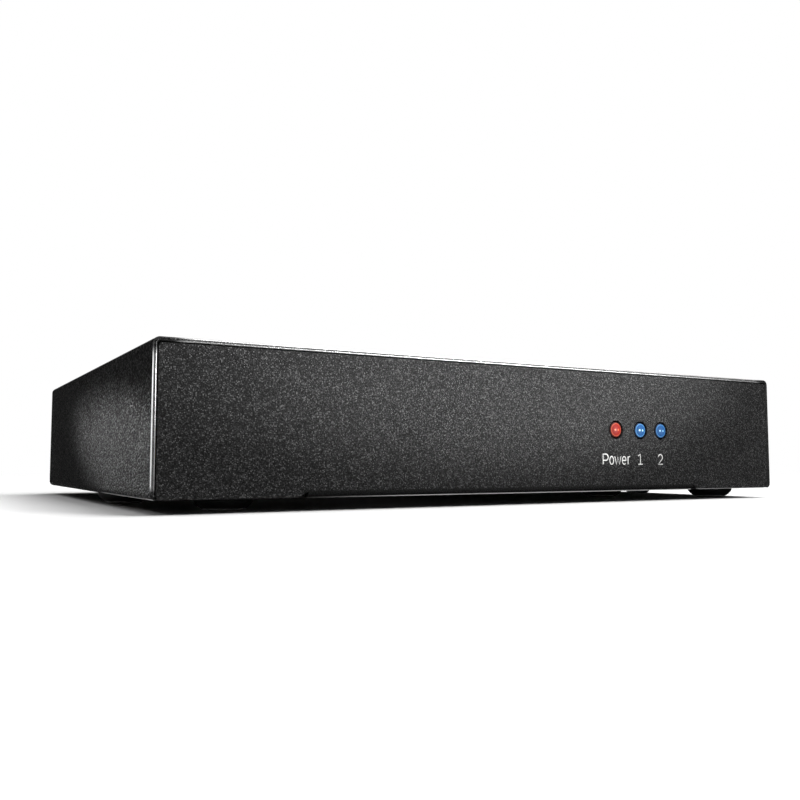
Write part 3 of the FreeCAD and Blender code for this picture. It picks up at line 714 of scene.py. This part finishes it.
# %% Finishes for the pieces on the board
chip_names = ("splitter_chip", "memory_chips", "filter_capacitors", "voltage_regulator",
              "line_resistors")
board_finish = {name: plastic["chip_black"] for name in chip_names}
board_finish.update({
    "circuit_board": board_green, "power_inductor": plastic["inductor_ferrite"],
    "board_standoffs": metal["zinc_screws"], "board_screws": metal["zinc_screws"],
    "clock_crystal": metal["can_metal"],
})
for name, finish in board_finish.items():
    soften(name, 0.08 * MM, finish, segments=1)
print("board pieces softened", len(board_finish))

# %% [markdown]
# Turned pieces come from a profile: a list of radius and height pairs that is
# swept round an axis.  A bmesh makes one ring of points for each pair and
# bridges the rings, and the smooth curves of the profile come from formulas.

# %% Turned meshes
SIDES = 64
TIP = 0.02  # a profile ends at this share of a radius from its axis
FORWARD = Matrix.Rotation(math.radians(90), 3, "X")  # lays an upright axis along -y


def arc(u, v, reach_u, reach_v, start, end, steps=10):
    """Points on an oval arc about (u, v); angles in degrees from the direction of u."""
    points = []
    for step in range(steps + 1):
        angle = math.radians(start + (end - start) * step / steps)
        points.append((u + reach_u * math.cos(angle), v + reach_v * math.sin(angle)))
    return points


def ring_points(bm, radius, height, place, tilt, sides=SIDES):
    """One ring of vertices round an axis through place; the radius may follow the angle."""
    points = []
    for step in range(sides):
        angle = 2 * math.pi * step / sides
        reach = radius(angle) if callable(radius) else radius
        spot = Vector((reach * math.cos(angle), reach * math.sin(angle), height))
        points.append(bm.verts.new(place + tilt @ spot))
    return points


def bridge(bm, first, second):
    """Faces between two rings."""
    count = len(first)
    for i in range(count):
        j = (i + 1) % count
        bm.faces.new((first[i], first[j], second[j], second[i]))


def turn(bm, profile, place, tilt=Matrix.Identity(3)):
    """A closed turned solid from (radius, height) pairs, ends closed by flat faces."""
    rings = [ring_points(bm, radius, height, place, tilt) for radius, height in profile]
    for first, second in zip(rings, rings[1:]):
        bridge(bm, first, second)
    bm.faces.new(list(reversed(rings[0])))
    bm.faces.new(rings[-1])


print("turning with", SIDES, "sides")

# %% [markdown]
# Each new piece becomes a mesh with its faces looking outward, gets its finish,
# and rides on the case, which is the part's only body.

# %% Pieces that ride on the case


def new_object(name, data):
    """An object in the scene for a mesh, a curve, a lamp or a camera."""
    thing = bpy.data.objects.new(name, data)
    bpy.context.collection.objects.link(thing)
    return thing


def final_mesh(thing):
    """What a curve or a mesh with modifiers comes to."""
    graph = bpy.context.evaluated_depsgraph_get()
    return bpy.data.meshes.new_from_object(thing.evaluated_get(graph))


def mesh_from(bm, name):
    """Turn a bmesh into a mesh and free it."""
    bmesh.ops.recalc_face_normals(bm, faces=bm.faces)
    mesh = bpy.data.meshes.new(name)
    bm.to_mesh(mesh)
    bm.free()
    return mesh


def ride_smooth(name, mesh, finish, sharp=None):
    """A finished smooth piece on the case; edges over the angle sharp stay sharp."""
    mesh.materials.append(finish)
    mesh.shade_smooth()
    if sharp:
        mesh.set_sharp_from_angle(angle=math.radians(sharp))
    piece = new_object(name, mesh)
    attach(piece, ROOT)
    return piece


print("pieces ride on", ROOT)

# %% [markdown]
# The feet are press-moulded bumpers: a flat patch on the ground, a dome, and a
# short straight skirt up to the case.  They replace the plain CAD feet, each at
# the same size and place.

# %% Domed feet
PATCH, RISE, SKIRT = 0.42, 0.78, 0.9  # patch of the radius, dome and skirt of the height


def foot_places():
    """Middle of each foot, found from the loose shells of the CAD node."""
    bm = bmesh.new()
    bm.from_mesh(nodes["rubber_feet"].data)
    bmesh.ops.remove_doubles(bm, verts=bm.verts, dist=SAME_POINT)
    places = []
    left = set(bm.verts)
    while left:
        shell, edge = set(), {left.pop()}
        while edge:
            shell |= edge
            edge = {e.other_vert(v) for v in edge for e in v.link_edges} - shell
        left -= shell
        xs = [v.co.x for v in shell]
        ys = [v.co.y for v in shell]
        places.append(Vector(((min(xs) + max(xs)) / 2, (min(ys) + max(ys)) / 2, 0)))
    bm.free()
    return sorted(places, key=lambda p: (round(p.y, 4), p.x))


def foot_profile(radius, height):
    """Flat patch, dome, and skirt up to the case."""
    flat, rise = PATCH * radius, RISE * height
    run = radius - flat
    ball = (run * run + rise * rise) / (2 * rise)
    half = math.degrees(math.atan2(rise, run))
    dome = arc(flat, ball, ball, ball, -90, -90 + 2 * half, 14)
    return [(flat * TIP, 0), (flat * 0.6, 0)] + dome + [(radius, height * SKIRT), (radius, height)]


feet = foot_places()
feet_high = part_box("rubber_feet")[1]
foot_radius = feet_high.x - max(p.x for p in feet)
foot_names = ("front_left", "front_right", "middle_right", "middle_left", "rear_left", "rear_right")
for label, place in zip(foot_names, feet):
    bm = bmesh.new()
    turn(bm, foot_profile(foot_radius, feet_high.z), place)
    name = "foot_" + label
    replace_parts(ride_smooth(name, mesh_from(bm, name), foot_rubber), "rubber_feet")
print("feet", len(feet), "radius", round(foot_radius, 5), "height", round(feet_high.z, 5))

# %% [markdown]
# Each lens is turned as well: a barrel that passes through the wall, a small
# shoulder and a shallow dome with enough rings to show a clean highlight.

# %% Lamp lenses
DOME_RISE = 0.42 * MM
SHOULDER = 0.12 * MM


def lens_profile(radius, length):
    """From the back of the barrel to the top of the dome."""
    inner = radius - SHOULDER
    ball = (inner ** 2 + DOME_RISE ** 2) / (2 * DOME_RISE)
    half = math.degrees(math.asin(inner / ball))
    cap = arc(0, length - ball, ball, ball, 90 - half, 89.2, 12)
    corner = arc(inner, length - DOME_RISE - SHOULDER, SHOULDER, SHOULDER, 0, 60, 4)
    barrel = [(TIP * radius, 0), (radius, 0), (radius, length - DOME_RISE - 2 * SHOULDER)]
    return barrel + corner + cap


for lamp in lamp_names:
    size, centre = span(lamp), middle(lamp)
    bm = bmesh.new()
    back = Vector((centre.x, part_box(lamp)[1].y, centre.z))
    turn(bm, lens_profile(size.x / 2, size.y), back, FORWARD)
    name = lamp + "_lens"
    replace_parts(ride_smooth(name, mesh_from(bm, name), lens_finish[lamp]), lamp)
    print("lens", lamp, [round(v, 5) for v in back])

# %% [markdown]
# Cross recesses are cut into the heads of the cover screws with a boolean.  The
# cutter crosses itself, so the boolean has to be told to expect that.  One screw
# is made, then its mesh is copied to the four places.

# %% Screw with a cross recess
TAPER = 0.35  # size of the recess at its bottom, as a share of its mouth


def recess_cutter(depth, reach, width):
    """Two crossed wedges that narrow with depth."""
    bm = bmesh.new()
    for quarter in (0, 90):
        spin = Matrix.Rotation(math.radians(quarter), 3, "Z")
        corners = []
        for z, share in ((-depth, TAPER), (0.2 * MM, 1.0)):
            for u, v in ((-1, -1), (1, -1), (1, 1), (-1, 1)):
                spot = Vector((u * reach * share, v * width * share, z))
                corners.append(bm.verts.new(spin @ spot))
        low, top = corners[:4], corners[4:]
        bm.faces.new(list(reversed(low)))
        bm.faces.new(top)
        bridge(bm, low, top)
    return bm


def pan_head(radius, height):
    """Profile of a pan head whose top is at zero, with a short shank below it."""
    bend, shank, end = 0.5 * height, 0.5 * radius, -1.9 * height
    crown = arc(radius - bend, -bend, bend, bend, 0, 90, 6)
    return ([(shank * TIP, end), (shank, end), (shank, -height), (radius, -height)]
            + crown + [(TIP * radius, 0.03 * height)])


def screw_mesh(radius, height):
    """One screw with its recess cut in, as a mesh with its head's top at zero."""
    screw = bmesh.new()
    turn(screw, pan_head(radius, height), Vector((0, 0, 0)))
    cutter = recess_cutter(depth=0.7 * height, reach=0.52 * radius, width=0.15 * radius)
    made = [new_object("screw_part", mesh_from(bm, "screw_part")) for bm in (screw, cutter)]
    cut = made[0].modifiers.new("recess", "BOOLEAN")
    cut.object = made[1]
    cut.operation = "DIFFERENCE"
    cut.use_self = True
    result = final_mesh(made[0])
    for part in made:
        bpy.data.objects.remove(part)
    result.materials.clear()
    return result


HEAD_RADIUS = 2.8 * MM
screw_low, screw_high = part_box("cover_screws")
head_height = case_low.z - screw_low.z
one_screw = screw_mesh(HEAD_RADIUS, head_height)
print("screw head height", round(head_height, 5), "faces", len(one_screw.polygons))

# %% [markdown]
# The four screws stand at the corners of the node's box, a head's radius in,
# with their heads down.

# %% Cover screws
screw_places = [(x, y) for y in (screw_low.y + HEAD_RADIUS, screw_high.y - HEAD_RADIUS)
                for x in (screw_low.x + HEAD_RADIUS, screw_high.x - HEAD_RADIUS)]
head_down = Matrix.Rotation(math.pi, 4, "X")
for number, (x, y) in enumerate(screw_places, 1):
    mesh = one_screw.copy()
    mesh.transform(Matrix.Translation((x, y, screw_low.z)) @ head_down)
    screw = ride_smooth("cover_screw_%d" % number, mesh, metal["zinc_screws"], sharp=35)
    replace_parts(screw, "cover_screws")
print("cover screws", len(screw_places))

# %% [markdown]
# A jack post is hexagon bar with its outer end turned to a chamfer, so the
# corners are cut back in soft curves.  Each ring of points has its own radius
# for every angle, from the round bore to the six flats.

# %% Heads of the jack posts
POST_BORE = 1.42 * MM
BORE_DEPTH = 4.2 * MM
BORE_MOUTH = 0.25 * MM
SEAT_BREAK = 0.08 * MM
CONE = 0.35 * MM
HEX_COS = math.cos(math.pi / 6)
HEX_SIDES = 72


def post_head(bm, place, across_flats, length):
    """Hexagonal head from its seat out along y, chamfered, with an open bore."""
    corner = across_flats / 2 / HEX_COS

    def hex_radius(angle):
        sector = math.radians(60)
        return across_flats / 2 / math.cos((angle % sector) - sector / 2)

    def ring(y, radius):
        return ring_points(bm, radius, -y, place, FORWARD, HEX_SIDES)

    rings = [ring(0, POST_BORE * 1.05), ring(0, lambda a: hex_radius(a) - SEAT_BREAK),
             ring(SEAT_BREAK, hex_radius)]
    for share in (0.55, 0.7, 0.85, 1.0):
        limit = corner - CONE * (share - 0.45) * 1.6
        rings.append(ring(length - CONE * (1 - share) / 0.45,
                          lambda a, most=limit: min(hex_radius(a), most)))
    for y, radius in ((length, POST_BORE + BORE_MOUTH), (length - 0.2 * MM, POST_BORE),
                      (length - BORE_DEPTH, POST_BORE), (length - BORE_DEPTH, POST_BORE * 0.05)):
        rings.append(ring(y, radius))
    for first, second in zip(rings, rings[1:]):
        bridge(bm, first, second)


print("post bore", POST_BORE)

# %% [markdown]
# The thread in a post's bore is a narrow ridge on a helix, at forty turns to the
# inch, which runs out into the wall at both ends.

# %% Threads of the jack posts
THREAD_PITCH = 0.635 * MM
STEPS_PER_TURN = 28
RIDGE = 0.2 * MM
RIDGE_HALF = 0.4 * THREAD_PITCH
RUN_OUT = 12  # at each end the ridge sinks over one twelfth of its length
FIRST_TURN, LAST_TURN = 1.2 * MM, 0.35 * MM  # from the wall, and short of the post's end


def thread_ridge(bm, place, start, end):
    """A three-sided ridge on a helix, tapering into the wall at both ends."""
    turns = (end - start) / THREAD_PITCH
    steps = int(turns * STEPS_PER_TURN)
    rows = []
    for step in range(steps + 1):
        share = step / steps
        angle = 2 * math.pi * turns * share
        fade = min(1.0, share * RUN_OUT, (1 - share) * RUN_OUT)
        y = start + (end - start) * share
        row = []
        for along, inward in ((-RIDGE_HALF, 0), (0, RIDGE * fade), (RIDGE_HALF, 0)):
            reach = POST_BORE - inward
            row.append(bm.verts.new(place + Vector((reach * math.cos(angle), y + along,
                                                    reach * math.sin(angle)))))
        rows.append(row)
    for first, second in zip(rows, rows[1:]):
        for i in (0, 1):
            bm.faces.new((first[i], first[i + 1], second[i + 1], second[i]))


def post_centres(low, high):
    """Middles of the two posts of one socket, on the rear wall's face."""
    corner = (high.z - low.z) / 2 / HEX_COS
    z = (low.z + high.z) / 2
    return [Vector((low.x + corner, rear_y, z)), Vector((high.x - corner, rear_y, z))]


for side in socket_names:
    name = side + "_jack_posts"
    low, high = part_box(name)
    length = high.y - rear_y
    heads, threads = bmesh.new(), bmesh.new()
    for place in post_centres(low, high):
        post_head(heads, place, high.z - low.z, length)
        thread_ridge(threads, place, FIRST_TURN, length - LAST_TURN)
    turned, thread = name + "_turned", side + "_post_threads"
    head = ride_smooth(turned, mesh_from(heads, turned), metal["jack_posts"], sharp=28)
    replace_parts(head, name)
    ride_smooth(thread, mesh_from(threads, thread), metal["jack_posts"])
print("jack posts", 2 * len(socket_names))

# %% [markdown]
# The print under the lamps is drawn with single strokes, as an engraver would:
# each letter is a few straight runs and arcs, here in millimetres from its lower
# left corner.

# %% Stroke letters
CAP, SMALL = 2.06, 1.6
HALF = SMALL / 2

letter_strokes = {
    "P": [[(0, 0), (0, CAP)] + arc(0.82, CAP - 0.62, 0.55, 0.62, 90, -90) + [(0, CAP - 1.24)]],
    "o": [arc(0.52, HALF, 0.52, HALF, 0, 360, 24)],
    "w": [[(0, SMALL), (0.42, 0), (0.84, SMALL * 0.92), (1.26, 0), (1.68, SMALL)]],
    "e": [[(0.04, HALF), (1.0, HALF)] + arc(0.52, HALF, 0.5, HALF, 0, 310, 22)],
    "r": [[(0, 0), (0, SMALL)],
          [(0, SMALL - 0.55)] + arc(0.5, SMALL - 0.5, 0.5, 0.5, 165, 85, 6)],
    "1": [[(0.1, CAP - 0.32), (0.72, CAP), (0.72, 0)], [(0.1, 0), (1.34, 0)]],
    "2": [arc(0.68, CAP - 0.62, 0.6, 0.62, 165, -35, 12) + [(0.08, 0), (1.36, 0)]],
}
print("letters", len(letter_strokes))

# %% [markdown]
# A curve with a round bevel gives every stroke its soft ends, and the result is
# pressed flat so that it stands only a few hundredths of a millimetre proud of
# the wall.

# %% Print under the lamps
STROKE = 0.25 * MM
FLATTEN = 0.12
PROUD = 0.01 * MM
BASE_Z = case_low.z + 5.48 * MM
LABEL = (("P", 19.4), ("o", 21.2), ("w", 22.6), ("e", 24.65), ("r", 26.25),
         ("1", 29.05), ("2", 34.9))  # each letter and its left end in mm


def flat_stroke_mesh(strokes, start_x):
    """Mesh of one letter's strokes, flattened onto the front wall."""
    curve = bpy.data.curves.new("stroke", "CURVE")
    curve.dimensions = "3D"
    curve.bevel_depth = STROKE / 2
    curve.bevel_resolution = 3
    curve.use_fill_caps = True
    for stroke in strokes:
        spline = curve.splines.new("POLY")
        spline.points.add(len(stroke) - 1)
        for point, (u, v) in zip(spline.points, stroke):
            point.co = (start_x + u * MM, 0, BASE_Z + v * MM, 1)
    holder = new_object("stroke", curve)
    mesh = final_mesh(holder)
    bpy.data.objects.remove(holder)
    for vertex in mesh.vertices:
        vertex.co.y = front_y - PROUD + vertex.co.y * FLATTEN
    return mesh


for number, (letter, x) in enumerate(LABEL, 1):
    mesh = flat_stroke_mesh(letter_strokes[letter], x * MM)
    ride_smooth("label_%d" % number, mesh, label_ink)
print("label strokes", len(LABEL))

# %% [markdown]
# The studio is a plain pale floor under a white sky, and both read as plain white
# to the camera.  Near the object the floor is a real pale surface that takes its
# shadow, and further out it fades to white.  Only gloss sees a dark patch on it,
# in front of the case and at the left, painted in to darken the reflections.

# %% Floor
FLOOR_RADIUS = 8.0
FADE_FROM, FADE_TO = 0.16, 0.5  # distances between which the floor fades to white
# The dark patch that only reflections see begins between these distances.
GLOSS_DARK_FROM, GLOSS_DARK_TO = 0.3, 0.13  # distances between which the felt in front begins
WHITE = (1, 1, 1, 1)


def mix_shaders(tree, mask, first, second):
    """One shader where a mask is 0, the other where it is 1."""
    mix = add(tree, "ShaderNodeMixShader")
    for value, socket in zip((mask, first.outputs[0], second.outputs[0]), mix.inputs):
        feed(tree, value, socket)
    return mix


def make_floor_finish():
    material, tree, shader = new_material("studio_floor", 0.85)
    noise = add(tree, "ShaderNodeTexNoise", Scale=1.5, Detail=2.0).outputs["Fac"]
    set_inputs(tree, shader, Base_Color=mix_colours(tree, noise, grey(0.9), grey(0.93)),
               Specular_IOR_Level=0.0)
    away = add(tree, "ShaderNodeVectorMath", {"operation": "LENGTH"},
               Vector=object_place(tree)).outputs["Value"]
    white = add(tree, "ShaderNodeEmission", Color=WHITE, Strength=1.0)
    faded = mix_shaders(tree, ramp(tree, away, FADE_FROM, FADE_TO), shader, white)
    axes = object_axes(tree)
    # A dark patch that only gloss sees, painted in to darken the reflections.
    in_front = product(tree, ramp(tree, away, GLOSS_DARK_FROM, GLOSS_DARK_TO),
                       zone(tree, axes, ("Y", 0, 20, -20)))
    at_left = zone(tree, axes, ("X", 0, -71.5, -74), ("Y", 0, -80, -20))
    gloss_dark = product(tree, combine(tree, "MAXIMUM", in_front, at_left),
                   add(tree, "ShaderNodeLightPath").outputs["Is Glossy Ray"])
    gloss_dark_patch = add(tree, "ShaderNodeBsdfDiffuse", Color=(*grey(0.05), 1))
    both = mix_shaders(tree, gloss_dark, faded, gloss_dark_patch)
    feed(tree, both.outputs[0], tree.nodes["Material Output"].inputs["Surface"])
    return material


bm = bmesh.new()
bmesh.ops.create_circle(bm, cap_ends=True, segments=96, radius=FLOOR_RADIUS)
mesh = bpy.data.meshes.new("floor")
bm.to_mesh(mesh)
bm.free()
mesh.materials.append(make_floor_finish())
floor = new_object("floor", mesh)
print("floor", floor.name, "radius", FLOOR_RADIUS)

# %% [markdown]
# A photographer of a black box hides most of the white sky from it.  So the sky
# has soft flags, which take light away in some directions, and one bright card
# at the left, which draws the line along the upright edge.  Gloss meets narrower
# flags than plain light does, because a flag that gloss sees is a dark patch.

# %% Flags and card in the sky
# Each one: the direction of its middle, the angles in degrees where it is full
# and where it ends, and its level.
FLAGS = {
    "behind": ((-0.4, 0.9, 0.1), 40, 80, 0.02),
    "behind_gloss": ((-0.4, 0.92, 0.05), 28, 54, 0.02),
    "before": ((0.8, -0.6, -0.1), 30, 75, 0.25),
    "aside": ((-1.0, -0.1, 0.1), 30, 70, 0.2),
    "ceiling": ((-0.3, 0.3, 1.0), 30, 60, 0.1),
    "card": ((-0.97, -0.22, 0.0), 10, 28, 3.5),
    "right": ((0.95, 0.24, 0.0), 10, 30, 0.5),
}


def flag_factor(tree, where, direction, inner, outer, level):
    """A soft flag or card: its level at the middle, one outside it."""
    toward = add(tree, "ShaderNodeVectorMath", {"operation": "DOT_PRODUCT"}, Vector=where)
    toward.inputs[1].default_value = Vector(direction).normalized()
    return ramp(tree, toward.outputs["Value"], math.cos(math.radians(outer)),
                math.cos(math.radians(inner)), To_Min=1.0, To_Max=level)


print("flags and card", len(FLAGS))

# %% [markdown]
# The sky is bright overhead and at a plain level round the horizon, but plain
# light takes none from low down, which would reach in under the case.

# %% Sky
OVERHEAD, LEVEL, HORIZON = 1.2, 1.0, 0.0
LIFT_FROM, LIFT_TO = 0.35, 0.8  # heights between which the sky gets brighter


def make_sky():
    world = bpy.data.worlds.new("studio_sky")
    bpy.context.scene.world = world
    world.use_nodes = True
    tree = world.node_tree
    tree.nodes.clear()
    where = add(tree, "ShaderNodeTexCoord").outputs["Generated"]
    ray = add(tree, "ShaderNodeLightPath").outputs
    height = add(tree, "ShaderNodeSeparateXYZ", Vector=where).outputs["Z"]
    flag = {name: flag_factor(tree, where, *values) for name, values in FLAGS.items()}
    low = spread(tree, ray["Is Diffuse Ray"], LEVEL, HORIZON)
    lift = ramp(tree, height, LIFT_FROM, LIFT_TO, To_Min=low, To_Max=OVERHEAD)
    behind = spread(tree, ray["Is Glossy Ray"], flag["behind"], flag["behind_gloss"])
    gloss = product(tree, flag["ceiling"], flag["card"], flag["right"])
    sides = spread(tree, ray["Is Glossy Ray"], flag["aside"], gloss)
    light = add(tree, "ShaderNodeBackground", Color=WHITE,
                Strength=product(tree, lift, behind, flag["before"], sides))
    seen = add(tree, "ShaderNodeBackground", Color=WHITE, Strength=1.0)
    both = mix_shaders(tree, ray["Is Camera Ray"], light, seen)
    add(tree, "ShaderNodeOutputWorld", Surface=both.outputs[0])


make_sky()
print("sky level", LEVEL, "overhead", OVERHEAD)

# %% [markdown]
# Two soft lamps light the whole, one from above and one from the front right.
# Two narrow ones, as lamps behind a grid, throw pools: one is level with the
# front wall, so that it leaves the top alone, and one grazes the left side from
# behind.  A spot lamp stretched in width throws a wide, flat pool.

# %% Lamps of the studio


def hang_lamp(name, kind, place, target, watts, **settings):
    """A lamp that looks at a target and isn't seen by the camera."""
    light = bpy.data.lights.new(name, kind)
    light.energy = watts
    for key, value in settings.items():
        setattr(light, key, value)
    lamp = new_object(name, light)
    lamp.location = place
    lamp.rotation_euler = (Vector(target) - Vector(place)).to_track_quat("-Z", "Y").to_euler()
    lamp.visible_camera = False
    return lamp


def throw_pool(name, place, target, watts, cone, wide, radius):
    """A spot lamp with a soft edge; cone in degrees, wide stretches its pool."""
    lamp = hang_lamp(name, "SPOT", place, target, watts, spot_size=math.radians(cone),
                     spot_blend=1.0, shadow_soft_size=radius)
    lamp.scale = (wide, 1, 1)


hang_lamp("key_soft", "AREA", (0.35, -0.6, 0.6), (0.0, 0.0, 0.015), watts=3.6, size=0.3)
overhead = hang_lamp("top_soft", "AREA", (0.3, 0.0, 1.05), (0.0, 0.0, 0.0), watts=7.6, size=0.6)
overhead.visible_glossy = False
throw_pool("front_pool", (0.3, -0.55, 0.024), (-0.004, -0.056, 0.0285), watts=38.0,
           cone=5.3, wide=2.5, radius=0.004)
throw_pool("side_pool", (-0.16, 0.36, 0.07), (-0.071, -0.058, 0.0045), watts=2.3,
           cone=4.1, wide=1.3, radius=0.003)
print("studio lamps", 4)

# %% [markdown]
# The camera stands low, a hand's width in front of the left corner, and looks
# slightly up along the front wall.  Its place, angles and lens come from fitting
# the case's edges in the photograph, in the same frame as the model.

# %% Camera
CAMERA_PLACE = Vector((-101.92, -185.04, 7.96)) * MM
CAMERA_TURN = 29.788  # degrees
CAMERA_RISE = 4.235
CAMERA_LENS = 38.236
SENSOR = 36.0

camera_data = bpy.data.cameras.new("photo_camera")
camera_data.lens = CAMERA_LENS
camera_data.sensor_width = SENSOR
camera_data.clip_start = 0.005
camera = new_object("photo_camera", camera_data)
camera.location = CAMERA_PLACE
camera.rotation_euler = (math.radians(90 + CAMERA_RISE), 0, math.radians(-CAMERA_TURN))
bpy.context.scene.camera = camera
bpy.context.scene.view_settings.view_transform = "Standard"
print("camera at", [round(v, 4) for v in camera.location])
